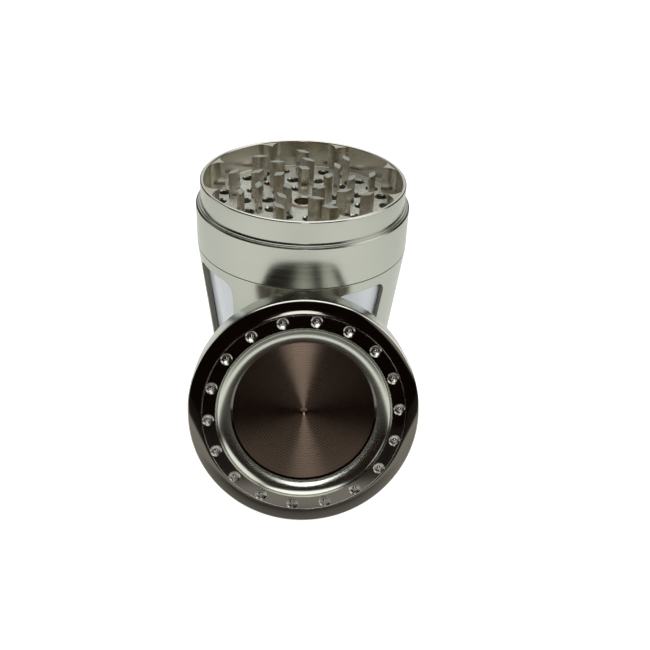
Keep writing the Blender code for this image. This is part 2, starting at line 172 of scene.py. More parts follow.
class GrinderColours(PropertyGroup):
    plate: colour((0.565, 0.58, 0.525), "Satin plated body")
    warm: colour((0.60, 0.555, 0.475), "Teeth and the chamber's inside")
    mirror: colour((0.74, 0.72, 0.67), "Polished rims and magnets")
    # Partly a dark plate and partly painted shade: a lowered tint that dims what the lid's face and
    # crown reflect
    dark: colour((0.17, 0.154, 0.138), "Polished dark face of the lid")
    # Partly the turned metal's own colour and partly painted shade: kept dark and brown to stand for
    # the dark brown room it reflects
    disc: colour((0.185, 0.134, 0.102), "Turned disc in the lid")
    pane: colour((0.90, 0.94, 0.98), "Clear plastic")
    steel: colour((0.56, 0.56, 0.54), "Woven wire and spring ring")
    nylon: colour((0.86, 0.86, 0.83), "Ring that the lid turns on")
    # On the floor this colour is painted shade past the sheet's edge
    surroundings: colour((0.016, 0.009, 0.006), "Dark room round the light tent")


def settings(context, part):
    """A part's sizes, and the colours."""
    return getattr(context.scene, f"grinder_{part}"), context.scene.grinder_colours


def deselect():
    if bpy.context.mode != "OBJECT":
        bpy.ops.object.mode_set(mode="OBJECT")
    bpy.ops.object.select_all(action="DESELECT")


def activate(obj):
    deselect()
    obj.select_set(True)
    bpy.context.view_layer.objects.active = obj


def pick(obj, chosen, kind="VERT"):
    """Go into edit mode with only the chosen vertices or edges selected."""
    activate(obj)
    bpy.ops.object.mode_set(mode="EDIT")
    bpy.ops.mesh.select_mode(type=kind)
    bpy.ops.mesh.select_all(action="DESELECT")
    bpy.ops.object.mode_set(mode="OBJECT")
    for item in obj.data.vertices if kind == "VERT" else obj.data.edges:
        item.select = chosen(item)
    bpy.ops.object.mode_set(mode="EDIT")


def apply_place(obj, matrix=None):
    activate(obj)
    if matrix is not None:
        obj.matrix_world = matrix @ obj.matrix_world
    bpy.ops.object.transform_apply(location=True, rotation=True, scale=True)


def apply_modifier(obj, modifier):
    activate(obj)
    bpy.ops.object.modifier_apply(modifier=modifier.name)


def edit_all(obj):
    activate(obj)
    bpy.ops.object.mode_set(mode="EDIT")
    bpy.ops.mesh.select_all(action="SELECT")


def leave():
    bpy.ops.object.mode_set(mode="OBJECT")


def close_up(obj):
    """Merge doubles and turn every face outwards."""
    edit_all(obj)
    bpy.ops.mesh.remove_doubles(threshold=MERGE)
    bpy.ops.mesh.normals_make_consistent(inside=False)
    leave()


def cap_ends(obj):
    """Close the open square ends of a swept strip."""
    edit_all(obj)
    bpy.ops.mesh.fill_holes(sides=4)
    bpy.ops.mesh.normals_make_consistent(inside=False)
    leave()


def soften(obj, width, segments=2, angle=30):
    """Round the edges that are sharper than an angle."""
    bevel = obj.modifiers.new("edges", "BEVEL")
    bevel.width = width
    bevel.segments = segments
    bevel.limit_method = "ANGLE"
    bevel.angle_limit = math.radians(angle)
    apply_modifier(obj, bevel)


def smooth(obj, angle=30):
    """Shade smooth, with the big faces' normals ruling over those of the small bevels."""
    activate(obj)
    bpy.ops.object.shade_smooth_by_angle(angle=math.radians(angle))
    weighted = obj.modifiers.new("normals", "WEIGHTED_NORMAL")
    weighted.keep_sharp = True
    apply_modifier(obj, weighted)


def dress(obj, material, angle=30):
    smooth(obj, angle)
    obj.data.materials.append(material)


def lathe(name, profile, steps=BODY_STEPS, closed=True):
    """Turn (radius, height) points about Z: one vertex is extruded along them, then spun."""
    deselect()
    bpy.ops.mesh.primitive_plane_add(size=MM, location=(0.0, 0.0, 0.0))
    obj = bpy.context.object
    obj.name = name
    obj.data.name = name
    pick(obj, lambda vertex: vertex.index > 0)
    bpy.ops.mesh.delete(type="VERT")
    bpy.ops.mesh.select_all(action="SELECT")
    start = Vector((profile[0][0] + MM / 2, MM / 2, profile[0][1]))
    bpy.ops.transform.translate(value=start)
    last = profile[0]
    for point in profile[1:] + (profile[:1] if closed else []):
        step = (point[0] - last[0], 0.0, point[1] - last[1])
        bpy.ops.mesh.extrude_vertices_move(TRANSFORM_OT_translate={"value": step})
        last = point
    bpy.ops.mesh.select_all(action="SELECT")
    bpy.ops.mesh.spin(steps=steps, angle=math.tau, center=(0.0, 0.0, 0.0), axis=(0.0, 0.0, 1.0))
    leave()
    close_up(obj)
    return obj


def duplicate(obj, matrix):
    """A copy with a mesh of its own, moved by a matrix."""
    other = obj.copy()
    other.data = obj.data.copy()
    bpy.context.scene.collection.objects.link(other)
    apply_place(other, matrix)
    return other


def join(objects):
    deselect()
    for obj in objects:
        obj.select_set(True)
    bpy.context.view_layer.objects.active = objects[0]
    bpy.ops.object.join()
    return objects[0]


def remove(obj):
    bpy.data.objects.remove(obj, do_unlink=True)


def combine(obj, other, operation):
    modifier = obj.modifiers.new("combine", "BOOLEAN")
    modifier.operation = operation
    modifier.object = other
    modifier.solver = "EXACT"
    apply_modifier(obj, modifier)
    remove(other)


def about_z(angle):
    return Matrix.Rotation(angle, 4, "Z")


def ring_places(number, radius, phase, skew=0.0):
    """Matrices that put a piece at equal steps round a circle, turned by a skew."""
    places = []
    for i in range(number):
        angle = phase + math.tau * i / number
        out = Matrix.Translation((radius * math.cos(angle), radius * math.sin(angle), 0.0))
        places.append(out @ about_z(angle + skew))
    return places


def spread_copies(obj, places):
    """Join copies of a piece at each place; the first piece is removed."""
    copies = [duplicate(obj, place) for place in places]
    remove(obj)
    return join(copies)


def lid_matrix():
    """The lid's axis is its turning joint's; its own +Y points up the lid's face."""
    joint = JOINTS["lid_turn"]
    axis = Vector(joint["axis"]).normalized()
    side = Vector((-axis.y, axis.x, 0.0)).normalized()
    up = axis.cross(side)
    turn = Matrix((side, up, axis)).transposed().to_4x4()
    return Matrix.Translation(joint["pos_m"]) @ turn


def cone_r(z):
    return BODY_R - (SEAM_Z - z) * TAPER


def helix(name, radius, low, high, pitch, height):
    """A thread's ridge: a small square, on its corner, screwed up a collar."""
    low, high = low + THREAD_CLEAR[0], high - THREAD_CLEAR[1]
    turns = (high - low) / pitch
    deselect()
    bpy.ops.mesh.primitive_circle_add(
        vertices=4, radius=height * 2, location=(radius - height, 0.0, low),
        rotation=(math.pi / 2, 0.0, 0.0),
    )
    obj = bpy.context.object
    obj.name = name
    apply_place(obj)
    screw = obj.modifiers.new("thread", "SCREW")
    screw.axis = "Z"
    screw.angle = math.tau * turns
    screw.screw_offset = pitch * turns
    screw.steps = screw.render_steps = int(96 * turns)
    apply_modifier(obj, screw)
    cap_ends(obj)
    return obj


def paint_faces(obj, materials, choose):
    """Give each face the material whose index choose() returns for its centre and normal."""
    for material in materials:
        obj.data.materials.append(material)
    for face in obj.data.polygons:
        face.material_index = choose(face.center, face.normal)


def settle(obj, body, slot, *replaced):
    """Hide the CAD nodes that a finished piece stands for and attach it to its body; the finish is not
    used.
    """
    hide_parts(*replaced)
    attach(obj, body)


# The colour sockets of a Mix node
MIX_FIRST, MIX_SECOND, MIX_RESULT = 6, 7, 2


class Nodes:
    """Short ways to add and join the nodes of a material or a world."""

    def __init__(self, owner):
        owner.use_nodes = True
        self.owner = owner
        self.tree = owner.node_tree
        self.shader = self.tree.nodes.get("Principled BSDF")

    def add(self, kind, links=(), **values):
        node = self.tree.nodes.new(kind)
        for key, value in values.items():
            setattr(node, key, value)
        for socket, value in links:
            self.put(node, socket, value)
        return node

    def put(self, node, socket, value):
        if isinstance(value, bpy.types.NodeSocket):
            self.tree.links.new(value, node.inputs[socket])
        else:
            node.inputs[socket].default_value = value

    def coordinates(self, matrix=Matrix(), scale=(1.0, 1.0, 1.0)):
        """Object coordinates in a piece's own frame, stretched."""
        texture = self.add("ShaderNodeTexCoord")
        place, turn, _ = matrix.decompose()
        own = self.add(
            "ShaderNodeMapping",
            [("Vector", texture.outputs["Object"]), ("Location", place), ("Rotation", turn.to_euler())],
            vector_type="TEXTURE",
        )
        stretch = self.add("ShaderNodeMapping", [("Vector", own.outputs["Vector"]), ("Scale", scale)])
        return stretch.outputs["Vector"]

    def length(self, vector):
        return self.add("ShaderNodeVectorMath", [(0, vector)], operation="LENGTH").outputs["Value"]

    def noise(self, vector, scale, detail=3.0):
        links = [("Vector", vector), ("Scale", scale), ("Detail", detail)]
        return self.add("ShaderNodeTexNoise", links).outputs["Fac"]

    def spread(self, value, low, high, start=0.3, end=0.7):
        """Rescale a pattern's middle to run from low to high."""
        links = [("Value", value), ("From Min", start), ("From Max", end)]
        links += [("To Min", low), ("To Max", high)]
        return self.add("ShaderNodeMapRange", links).outputs["Result"]

    def blend(self, amount, *pair):
        """Run from one colour or pattern of colours to another."""
        first, second = (v if isinstance(v, bpy.types.NodeSocket) else (*v, 1.0) for v in pair)
        links = [("Factor", amount), (MIX_FIRST, first), (MIX_SECOND, second)]
        return self.add("ShaderNodeMix", links, data_type="RGBA").outputs[MIX_RESULT]

    def mottle(self, pattern, tint, low, high):
        """The tint, made darker and lighter by a pattern."""
        return self.blend(self.spread(pattern, 0.0, 1.0), scaled(tint, low), scaled(tint, high))

    def bump(self, height, distance, strength=1.0):
        links = [("Height", height), ("Distance", distance), ("Strength", strength)]
        return self.add("ShaderNodeBump", links).outputs["Normal"]

    def by_path(self, seen, reflected, output):
        """Show one shader to the camera and through the panes, and the other in reflections."""
        path = self.add("ShaderNodeLightPath").outputs
        either = [(0, path["Is Camera Ray"]), (1, path["Is Transmission Ray"])]
        direct = self.add("ShaderNodeMath", either, operation="MAXIMUM").outputs[0]
        mix = self.add("ShaderNodeMixShader", [(0, direct), (1, reflected), (2, seen)])
        self.put(self.tree.nodes[output], "Surface", mix.outputs[0])

    def surface(self, base, roughness, normal=None, metallic=1.0):
        self.put(self.shader, "Base Color", base)
        self.put(self.shader, "Roughness", roughness)
        self.put(self.shader, "Metallic", metallic)
        if normal is not None:
            self.put(self.shader, "Normal", normal)
        return self.owner


def scaled(tint, factor):
    return tuple(min(1.0, channel * factor) for channel in tint)


def turned_metal(name, tint, roughness, lines=1100.0, depth=0.0010 * MM, matrix=Matrix()):
    """Plated metal with fine lines left by turning, running round the piece."""
    nodes = Nodes(bpy.data.materials.new(name))
    fine = nodes.noise(nodes.coordinates(matrix, (14.0, 14.0, lines * 4)), 1.0, 4.0)
    broad = nodes.noise(nodes.coordinates(matrix, (1.0, 1.0, 2.0)), 42.0, 4.0)
    base = nodes.mottle(fine, tint, 0.93, 1.04)
    base = nodes.blend(nodes.spread(broad, 0.0, 0.35), base, scaled(tint, 0.90))
    rough = nodes.spread(fine, roughness * 0.8, roughness * 1.25)
    return nodes.surface(base, rough, nodes.bump(fine, depth))


def cast_metal(
    name, tint, roughness, grain=2600.0, depth=0.02 * MM, contrast=0.25, matrix=Matrix(), metallic=1.0
):
    """Plated metal over a grainy, tumbled surface."""
    nodes = Nodes(bpy.data.materials.new(name))
    grains = nodes.noise(nodes.coordinates(matrix), grain, 5.0)
    broad = nodes.noise(nodes.coordinates(matrix), 180.0, 3.0)
    base = nodes.mottle(grains, tint, 1.0 - contrast, 1.0 + contrast)
    base = nodes.blend(nodes.spread(broad, 0.0, 0.4), base, scaled(tint, 0.86))
    rough = nodes.spread(broad, roughness * 0.75, roughness * 1.3)
    return nodes.surface(base, rough, nodes.bump(grains, depth), metallic)


def mirror_metal(name, tint, roughness, matrix=Matrix()):
    """Polished plate with faint hazy patches and hairline scratches."""
    nodes = Nodes(bpy.data.materials.new(name))
    haze = nodes.noise(nodes.coordinates(matrix), 95.0, 5.0)
    hair = nodes.noise(nodes.coordinates(matrix, (2600.0, 120.0, 900.0)), 1.0, 2.0)
    base = nodes.mottle(haze, tint, 0.95, 1.03)
    rough = nodes.spread(haze, roughness * 0.6, roughness * 1.6)
    return nodes.surface(base, rough, nodes.bump(hair, 0.0008 * MM, 0.4))


def disc_metal(name, tint, matrix):
    """The lid's disc, faced with fine rings that stretch its highlights across them."""
    nodes = Nodes(bpy.data.materials.new(name))
    radius = nodes.length(nodes.coordinates(matrix, (1.0, 1.0, 0.0)))
    out = nodes.add("ShaderNodeCombineXYZ", [("X", radius)]).outputs["Vector"]
    rings = nodes.noise(out, 5200.0, 3.0)
    wide = nodes.noise(out, 900.0, 2.0)
    base = nodes.mottle(rings, tint, 0.90, 1.06)
    base = nodes.blend(nodes.spread(wide, 0.0, 0.4), base, scaled(tint, 0.90))
    tangent = nodes.add("ShaderNodeTangent", direction_type="UV_MAP", uv_map="rings")
    nodes.put(nodes.shader, "Anisotropic", 1.0)
    nodes.put(nodes.shader, "Tangent", tangent.outputs["Tangent"])
    return nodes.surface(base, nodes.spread(rings, 0.17, 0.20), nodes.bump(rings, 0.0002 * MM, 0.3))


def clear_plastic(name, tint):
    """Clear panes with soft upright streaks from moulding."""
    nodes = Nodes(bpy.data.materials.new(name))
    streaks = nodes.noise(nodes.coordinates(Matrix(), (260.0, 260.0, 9.0)), 1.0, 3.0)
    base = nodes.mottle(streaks, tint, 0.94, 1.0)
    nodes.put(nodes.shader, "IOR", 1.49)
    nodes.put(nodes.shader, "Transmission Weight", 0.35)
    ripples = nodes.bump(streaks, 0.02 * MM, 0.3)
    return nodes.surface(base, nodes.spread(streaks, 0.03, 0.10), ripples, metallic=0.0)


def wire_metal(name, tint, roughness):
    nodes = Nodes(bpy.data.materials.new(name))
    spots = nodes.noise(nodes.coordinates(), 900.0, 4.0)
    base = nodes.mottle(spots, tint, 0.8, 1.1)
    rough = nodes.spread(spots, roughness * 0.8, roughness * 1.2)
    return nodes.surface(base, rough, nodes.bump(spots, 0.004 * MM))


def moulded_plastic(name, tint, matrix):
    nodes = Nodes(bpy.data.materials.new(name))
    grain = nodes.noise(nodes.coordinates(matrix), 1500.0, 4.0)
    base = nodes.mottle(grain, tint, 0.95, 1.0)
    pebbles = nodes.bump(grain, 0.01 * MM, 0.5)
    return nodes.surface(base, nodes.spread(grain, 0.40, 0.52), pebbles, metallic=0.0)


class MESH_OT_grinder_bowl(Operator):
    """Build the bowl that catches the powder"""

    bl_idname = "mesh.grinder_bowl"
    bl_label = "Bowl"

    def execute(self, context):
        body, tints = settings(context, "body")
        floor = body.bowl_floor
        bore, inner_foot = body.bowl_bore, body.bowl_bore - 2.2 * MM
        profile = [
            (0.0, floor + 0.1 * MM),
            (inner_foot - 4 * MM, floor),
            (inner_foot, floor + 0.15 * MM),
            (bore - 0.6 * MM, floor + 1.1 * MM),
            (bore, floor + 2.6 * MM),
            (bore, BOWL_COLLAR_Z),
            (body.bowl_collar_radius, BOWL_COLLAR_Z),
            (body.bowl_collar_radius, BOWL_TOP_Z),
            (cone_r(BOWL_TOP_Z), BOWL_TOP_Z),
            (cone_r(0.6 * MM), 0.6 * MM),
            (cone_r(0.0) - 0.6 * MM, 0.0),
            (cone_r(0.0) - 3.0 * MM, 0.0),
            (cone_r(0.0) - 3.4 * MM, 0.35 * MM),
            (0.0, 0.35 * MM),
        ]
        obj = lathe("bowl", profile, closed=False)
        soften(obj, 0.12 * MM)
        ridge = helix(
            "bowl_thread", body.bowl_collar_radius, BOWL_TOP_Z, BOWL_COLLAR_Z,
            body.thread_pitch, body.thread_height,
        )
        obj = join([obj, ridge])
        dress(obj, turned_metal("bowl_satin", tints.plate, BODY_SATIN))
        settle(obj, "bowl", "nickel", "kief_bowl")
        return {"FINISHED"}


def window_cutter(body):
    """A block with the windows' outline: a cube, tapered, its corners rounded by bevels."""
    deselect()
    low, high = body.window_bottom, body.window_top
    reach = 8.0 * MM
    centre = (BODY_R - reach / 2 + 4.0 * MM, 0.0, (low + high) / 2)
    bpy.ops.mesh.primitive_cube_add(size=1.0, location=centre)
    obj = bpy.context.object
    obj.scale = (reach * 2, body.window_top_half * 2, high - low)
    apply_place(obj)
    pick(obj, lambda vertex: vertex.co.z < (low + high) / 2)
    narrow = body.window_bottom_half / body.window_top_half
    bpy.ops.transform.resize(value=(1.0, narrow, 1.0))
    leave()
    points = obj.data.vertices

    def runs_outwards(edge):
        first, last = (points[index].co.x for index in edge.vertices)
        return abs(first - last) > MM

    pick(obj, runs_outwards, "EDGE")
    bpy.ops.mesh.bevel(offset=body.window_corner * 0.98, segments=10, affect="EDGES")
    bpy.ops.mesh.select_mode(type="VERT")
    leave()
    return obj


class MESH_OT_grinder_collector(Operator):
    """Build the collector's windowed frame"""

    bl_idname = "mesh.grinder_collector"
    bl_label = "Collector"

    def execute(self, context):
        body, tints = settings(context, "body")
        seat_z = SIEVE_LOW_Z - GAP
        neck_z = SEAM_Z - 0.6 * MM
        waist_z = neck_z - 2.0 * MM
        profile = [
            (body.top_collar_radius, COLLAR_TOP_Z),
            (body.top_collar_radius, SEAM_Z),
            (BODY_R, SEAM_Z),
            *[(cone_r(SEAM_Z - drop * MM), SEAM_Z - drop * MM) for drop in (10, 20, 30)],
            (cone_r(FRAME_FOOT_Z), FRAME_FOOT_Z),
            (body.bowl_socket, FRAME_FOOT_Z),
            (body.bowl_socket, seat_z - 1.6 * MM),
            (body.sieve_seat, seat_z - 1.6 * MM),
            (body.sieve_seat, seat_z),
            (cone_r(seat_z) - body.wall, seat_z),
            (cone_r(SEAM_Z - 20 * MM) - body.wall, SEAM_Z - 20 * MM),
            (cone_r(waist_z) - body.wall, waist_z),
            (body.top_collar_bore, neck_z),
            (body.top_collar_bore, COLLAR_TOP_Z),
        ]
        obj = lathe("collector_frame", profile)
        soften(obj, 0.10 * MM)
        cutter = window_cutter(body)
        places = [about_z(body.window_phase + math.tau * i / 4) for i in range(4)]
        combine(obj, spread_copies(cutter, places), "DIFFERENCE")
        ridge = helix(
            "collector_thread", body.top_collar_radius, SEAM_Z, COLLAR_TOP_Z,
            body.thread_pitch, body.thread_height,
        )
        plate = turned_metal("collector_satin", tints.plate, BODY_SATIN)
        # Painted shade: the windows' cut faces take the warm tint at 0.4 of its brightness, darker than
        # the frame round them
        edge = turned_metal("window_edge_metal", scaled(tints.warm, 0.4), 0.34, 500.0)
        bore_low, bore_high = body.window_bottom - MM, body.window_top + MM

        def choose(centre, normal):
            out = Vector((centre.x, centre.y, 0.0)).normalized()
            sideways = abs(normal.dot(out)) < 0.6 and abs(normal.x) + abs(normal.y) > 0.1
            return 1 if sideways and bore_low < centre.z < bore_high else 0

        paint_faces(obj, [plate, edge], choose)
        obj = join([obj, ridge])
        smooth(obj)
        settle(obj, "collector", "nickel", "window_frame")
        return {"FINISHED"}


class MESH_OT_grinder_panes(Operator):
    """Build the four clear panes behind the windows"""

    bl_idname = "mesh.grinder_panes"
    bl_label = "Panes"

    def execute(self, context):
        body, tints = settings(context, "body")
        low, high, _ = span("window_pane_1")
        outer = body.wall + GAP
        width = math.asin((body.window_top_half + 1.1 * MM) / cone_r(high))
        deselect()
        bpy.ops.mesh.primitive_plane_add(size=1.0, rotation=(math.pi / 2, 0.0, 0.0))
        pane = bpy.context.object
        pane.name = "pane"
        apply_place(pane)
        for vertex in pane.data.vertices:
            height = high if vertex.co.z > 0 else low
            inset = outer if vertex.co.x > 0 else outer + body.pane_thickness
            vertex.co = (cone_r(height) - inset, 0.0, height)
        edit_all(pane)
        bpy.ops.transform.rotate(value=width, orient_axis="Z", center_override=(0.0, 0.0, 0.0))
        bpy.ops.mesh.spin(steps=40, angle=width * 2, center=(0.0, 0.0, 0.0), axis=(0.0, 0.0, 1.0))
        leave()
        close_up(pane)
        angles = [math.atan2(v.co.y, v.co.x) for v in pane.data.vertices]
        middle = (min(angles) + max(angles)) / 2
        apply_place(pane, about_z(-middle))
        soften(pane, 0.12 * MM)
        smooth(pane)
        material = clear_plastic("pane_plastic", tints.pane)
        for i in range(4):
            copy = duplicate(pane, about_z(body.window_phase + math.tau * i / 4))
            copy.name = f"pane_{i + 1}"
            copy.data.materials.append(material)
            settle(copy, "collector", "clear", f"window_pane_{i + 1}")
        remove(pane)
        return {"FINISHED"}


class MESH_OT_grinder_sieve(Operator):
    """Weave the sieve and add the spring ring that holds it"""

    bl_idname = "mesh.grinder_sieve"
    bl_label = "Sieve"

    def execute(self, context):
        body, tints = settings(context, "body")
        pitch = body.mesh_pitch
        number = int(SIEVE_R / pitch)
        middle = (SIEVE_LOW_Z + SIEVE_HIGH_Z) / 2
        wires = []
        for phase in (0, 1):
            deselect()
            bpy.ops.mesh.primitive_cylinder_add(
                vertices=4, radius=body.mesh_wire, depth=2 * number * pitch,
                location=(0.0, 0.0, middle), rotation=(0.0, math.pi / 2, 0.0),
            )
            wire = bpy.context.object
            apply_place(wire)
            bpy.ops.object.mode_set(mode="EDIT")
            for k in range(-number + 1, number):
                bpy.ops.mesh.select_all(action="SELECT")
                bpy.ops.mesh.bisect(plane_co=(k * pitch, 0.0, middle), plane_no=(1.0, 0.0, 0.0))
            leave()
            for side, shift in ((0, -WAVE), (1, WAVE)):
                pick(wire, lambda vertex: (round(vertex.co.x / pitch) + phase) % 2 == side)
                bpy.ops.transform.translate(value=(0.0, 0.0, shift))
                leave()
            wires.append(wire)
        woven = []
        for turn in (0, 1):
            for k in range(-number + 1, number):
                source = wires[(k + turn) % 2]
                reach = math.sqrt(max(0.0, (SIEVE_R - 0.15 * MM) ** 2 - (k * pitch) ** 2))
                place = about_z(math.pi / 2 * turn) @ Matrix.Translation((0.0, k * pitch, 0.0))
                copy = duplicate(source, Matrix())
                pick(copy, lambda vertex: abs(vertex.co.x) > reach)
                bpy.ops.mesh.delete(type="VERT")
                leave()
                cap_ends(copy)
                apply_place(copy, place)
                woven.append(copy)
        for wire in wires:
            remove(wire)
        screen = join(woven)
        screen.name = "sieve_mesh"
        dress(screen, wire_metal("mesh_steel", tints.steel, 0.34), 60)
        settle(screen, "sieve", "sieve_steel", "sieve_screen")
        inner = body.sieve_seat + 0.1 * MM
        profile = [
            (inner, RING_LOW_Z), (RING_R, RING_LOW_Z), (RING_R, RING_HIGH_Z), (inner, RING_HIGH_Z),
        ]
        ring = lathe("spring_ring", profile)
        soften(ring, 0.3 * MM, 4)
        dress(ring, wire_metal("ring_steel", tints.steel, 0.24))
        settle(ring, "sieve", "sieve_steel", "sieve_ring")
        return {"FINISHED"}


def cusp_rib(chamber, floor_z):
    """A rib with two hollow flanks: a block less two upright cylinders."""
    root = chamber.bore + 0.2 * MM
    flank = chamber.cusp_flank
    centre_r = root - flank
    cosine = (centre_r ** 2 + chamber.cusp_tip ** 2 - flank ** 2) / (2 * centre_r * chamber.cusp_tip)
    spread = math.acos(cosine)
    low, high = floor_z - 0.5 * MM, RIM_Z - 0.35 * MM
    back = chamber.bore + 0.35 * MM
    deselect()
    bpy.ops.mesh.primitive_cube_add(
        size=1.0, location=((chamber.cusp_tip + back) / 2, 0.0, (low + high) / 2)
    )
    rib = bpy.context.object
    rib.scale = (back - chamber.cusp_tip, 2 * root * math.sin(spread) - 0.1 * MM, high - low)
    apply_place(rib)
    for side in (-1, 1):
        centre = (centre_r * math.cos(spread), side * centre_r * math.sin(spread), (low + high) / 2)
        deselect()
        bpy.ops.mesh.primitive_cylinder_add(
            vertices=96, radius=flank, depth=(high - low) * 2, location=centre
        )
        cutter = bpy.context.object
        apply_place(cutter)
        combine(rib, cutter, "DIFFERENCE")
    soften(rib, 0.10 * MM, 2, 50)
    return rib


# Drop holes: number, circle's radius, angle of the first in degrees
HOLE_RINGS = ((10, 10.5 * MM, 102.0), (14, 17.3 * MM, 0.0), (24, 24.5 * MM, 2.2))
# Teeth: number, circle's radius, angle of the first in degrees, half length, half width
CHAMBER_TEETH = {
    "inner": (5, 7.6 * MM, 91.6, 1.9 * MM, 1.4 * MM),
    "middle": (9, 14.2 * MM, 86.9, 2.3 * MM, 1.1 * MM),
    "outer": (9, 20.7 * MM, 93.4, 2.3 * MM, 1.1 * MM),
}
LID_TEETH = (
    (7, 10.9 * MM, 90.0, 2.1 * MM, 1.0 * MM),
    (9, 17.45 * MM, 100.0, 2.1 * MM, 1.0 * MM),
    (9, 23.9 * MM, 80.0, 1.9 * MM, 0.9 * MM),
)
TOOTH_SKEW = math.radians(60)
TOOTH_ROOT = 0.1 * MM
TOOTH_DROP = 0.2 * MM
LID_TOOTH_END = -0.9 * MM


class MESH_OT_grinder_chamber(Operator):
    """Build the grinding chamber's wall and pierced floor"""

    bl_idname = "mesh.grinder_chamber"
    bl_label = "Chamber"

    def execute(self, context):
        chamber, tints = settings(context, "chamber")
        floor_z = RIM_Z - chamber.floor_drop
        under_z = floor_z - chamber.floor_thickness
        ledge_z = RIM_Z - chamber.ledge_drop
        skirt, bore, collar = 29.9 * MM, chamber.bore, chamber.collar_radius
        profile = [
            (chamber.centre_bore, floor_z + 0.7 * MM),
            (3.6 * MM, floor_z + 0.7 * MM),
            (3.6 * MM, floor_z),
            (13.9 * MM, floor_z),
            (20.9 * MM, floor_z),
            (bore - 0.5 * MM, floor_z),
            (bore - 0.12 * MM, floor_z + 0.12 * MM),
            (bore, floor_z + 0.5 * MM),
            (bore, RIM_Z - 0.28 * MM),
            (bore + 0.28 * MM, RIM_Z),
            (collar - 0.3 * MM, RIM_Z),
            (collar, RIM_Z - 0.3 * MM),
            (collar, ledge_z + 0.5 * MM),
            (collar + 0.6 * MM, ledge_z + 0.42 * MM),
            (collar + 0.62 * MM, ledge_z),
            (BODY_R - 0.45 * MM, ledge_z),
            (BODY_R, ledge_z - 0.45 * MM),
            (BODY_R, CHAMBER_FOOT_Z + 0.08 * MM),
            (BODY_R - 0.08 * MM, CHAMBER_FOOT_Z),
            (skirt, CHAMBER_FOOT_Z),
            (skirt, under_z - MM),
            (skirt - MM, under_z),
            (5.8 * MM, under_z),
            (5.8 * MM, BOSS_Z),
            (MAGNET_R + GAP, BOSS_Z),
            (MAGNET_R + GAP, MAGNET_HIGH_Z + GAP),
            (chamber.centre_bore, MAGNET_HIGH_Z + GAP),
        ]
        obj = lathe("chamber_shell", profile)
        soften(obj, 0.05 * MM, 1)
        ribs = spread_copies(
            cusp_rib(chamber, floor_z),
            [about_z(chamber.cusp_phase + math.tau * i / chamber.cusps) for i in range(chamber.cusps)],
        )
        hole = chamber.hole_radius
        mouth = 0.34 * MM
        drill = lathe(
            "drill",
            [
                (0.0, floor_z + MM), (hole + mouth, floor_z + MM), (hole + mouth, floor_z + 0.001 * MM),
                (hole, floor_z - mouth), (hole, under_z - MM), (0.0, under_z - MM),
            ],
            steps=28,
            closed=False,
        )
        places = []
        for number, radius, phase in HOLE_RINGS:
            places += ring_places(number, radius, math.radians(phase))
        combine(obj, spread_copies(drill, places), "DIFFERENCE")
        obj = join([obj, ribs])
        outside = turned_metal("chamber_satin", tints.plate, SATIN)
        inside = turned_metal("chamber_bore_metal", scaled(tints.warm, 1.05), 0.22, 300.0, 0.004 * MM)
        grey = scaled(tints.plate, 0.88)
        floor = cast_metal("chamber_floor_metal", grey, 0.42, 1700.0, 0.04 * MM, 0.36, metallic=0.65)
        polished = mirror_metal("rim_polished", tints.mirror, 0.10)

        def choose(centre, normal):
            radius = math.hypot(centre.x, centre.y)
            if centre.z < under_z:
                return 0 if radius > skirt + 0.1 * MM else 1
            if radius < chamber.bore - 0.3 * MM and normal.z > 0.9 and centre.z < floor_z + 0.4 * MM:
                return 2
            if radius < chamber.bore - MM and 0.3 < normal.z < 0.9 and centre.z < floor_z:
                return 3
            if radius < chamber.bore + 0.05 * MM and centre.z < RIM_Z - 0.3 * MM:
                return 1
            if centre.z > RIM_Z - 0.31 * MM:
                return 3
            return 0

        paint_faces(obj, [outside, inside, floor, polished], choose)
        smooth(obj)
        settle(obj, "chamber", "nickel", "chamber_wall", "chamber_floor")
        return {"FINISHED"}


def tooth(half_length, half_width, low, high):
    """A rhomb with its sharp ends cut off and its edges eased."""
    deselect()
    bpy.ops.mesh.primitive_cylinder_add(
        vertices=4, radius=1.0, depth=high - low, location=(0.0, 0.0, (low + high) / 2)
    )
    obj = bpy.context.object
    obj.scale = (half_length * 1.25, half_width, 1.0)
    apply_place(obj)
    for side in (-1, 1):
        edit_all(obj)
        bpy.ops.mesh.bisect(
            plane_co=(side * half_length, 0.0, 0.0), plane_no=(side, 0.0, 0.0),
            clear_outer=True, use_fill=True,
        )
        leave()
    close_up(obj)
    soften(obj, 0.09 * MM, 2)
    return obj


class MESH_OT_grinder_chamber_teeth(Operator):
    """Build the teeth that stand on the chamber's floor"""

    bl_idname = "mesh.grinder_chamber_teeth"
    bl_label = "Chamber teeth"

    def execute(self, context):
        chamber, tints = settings(context, "chamber")
        low = RIM_Z - chamber.floor_drop - TOOTH_ROOT
        sides = cast_metal("tooth_metal", tints.warm, 0.24, 900.0, 0.006 * MM, 0.10)
        tops = mirror_metal("tooth_top_metal", scaled(tints.plate, 0.75), 0.16)
        for name, (number, radius, phase, half_length, half_width) in CHAMBER_TEETH.items():
            one = tooth(half_length, half_width, low, RIM_Z - TOOTH_DROP)
            places = ring_places(number, radius, math.radians(phase), TOOTH_SKEW)
            row = spread_copies(one, places)
            row.name = f"teeth_{name}"
            paint_faces(row, [sides, tops], lambda centre, normal: 1 if normal.z > 0.6 else 0)
            smooth(row)
            settle(row, "chamber", "nickel", *[f"{name}_tooth_{i + 1}" for i in range(number)])
        return {"FINISHED"}


def puck(name, radius, low, high, matrix, material, body, node):
    profile = [(0.0, high), (radius, high), (radius, low), (0.0, low)]
    obj = lathe(name, profile, SMALL_STEPS, closed=False)
    soften(obj, 0.25 * MM, 3)
    dress(obj, material)
    apply_place(obj, matrix)
    settle(obj, body, "magnet", node)


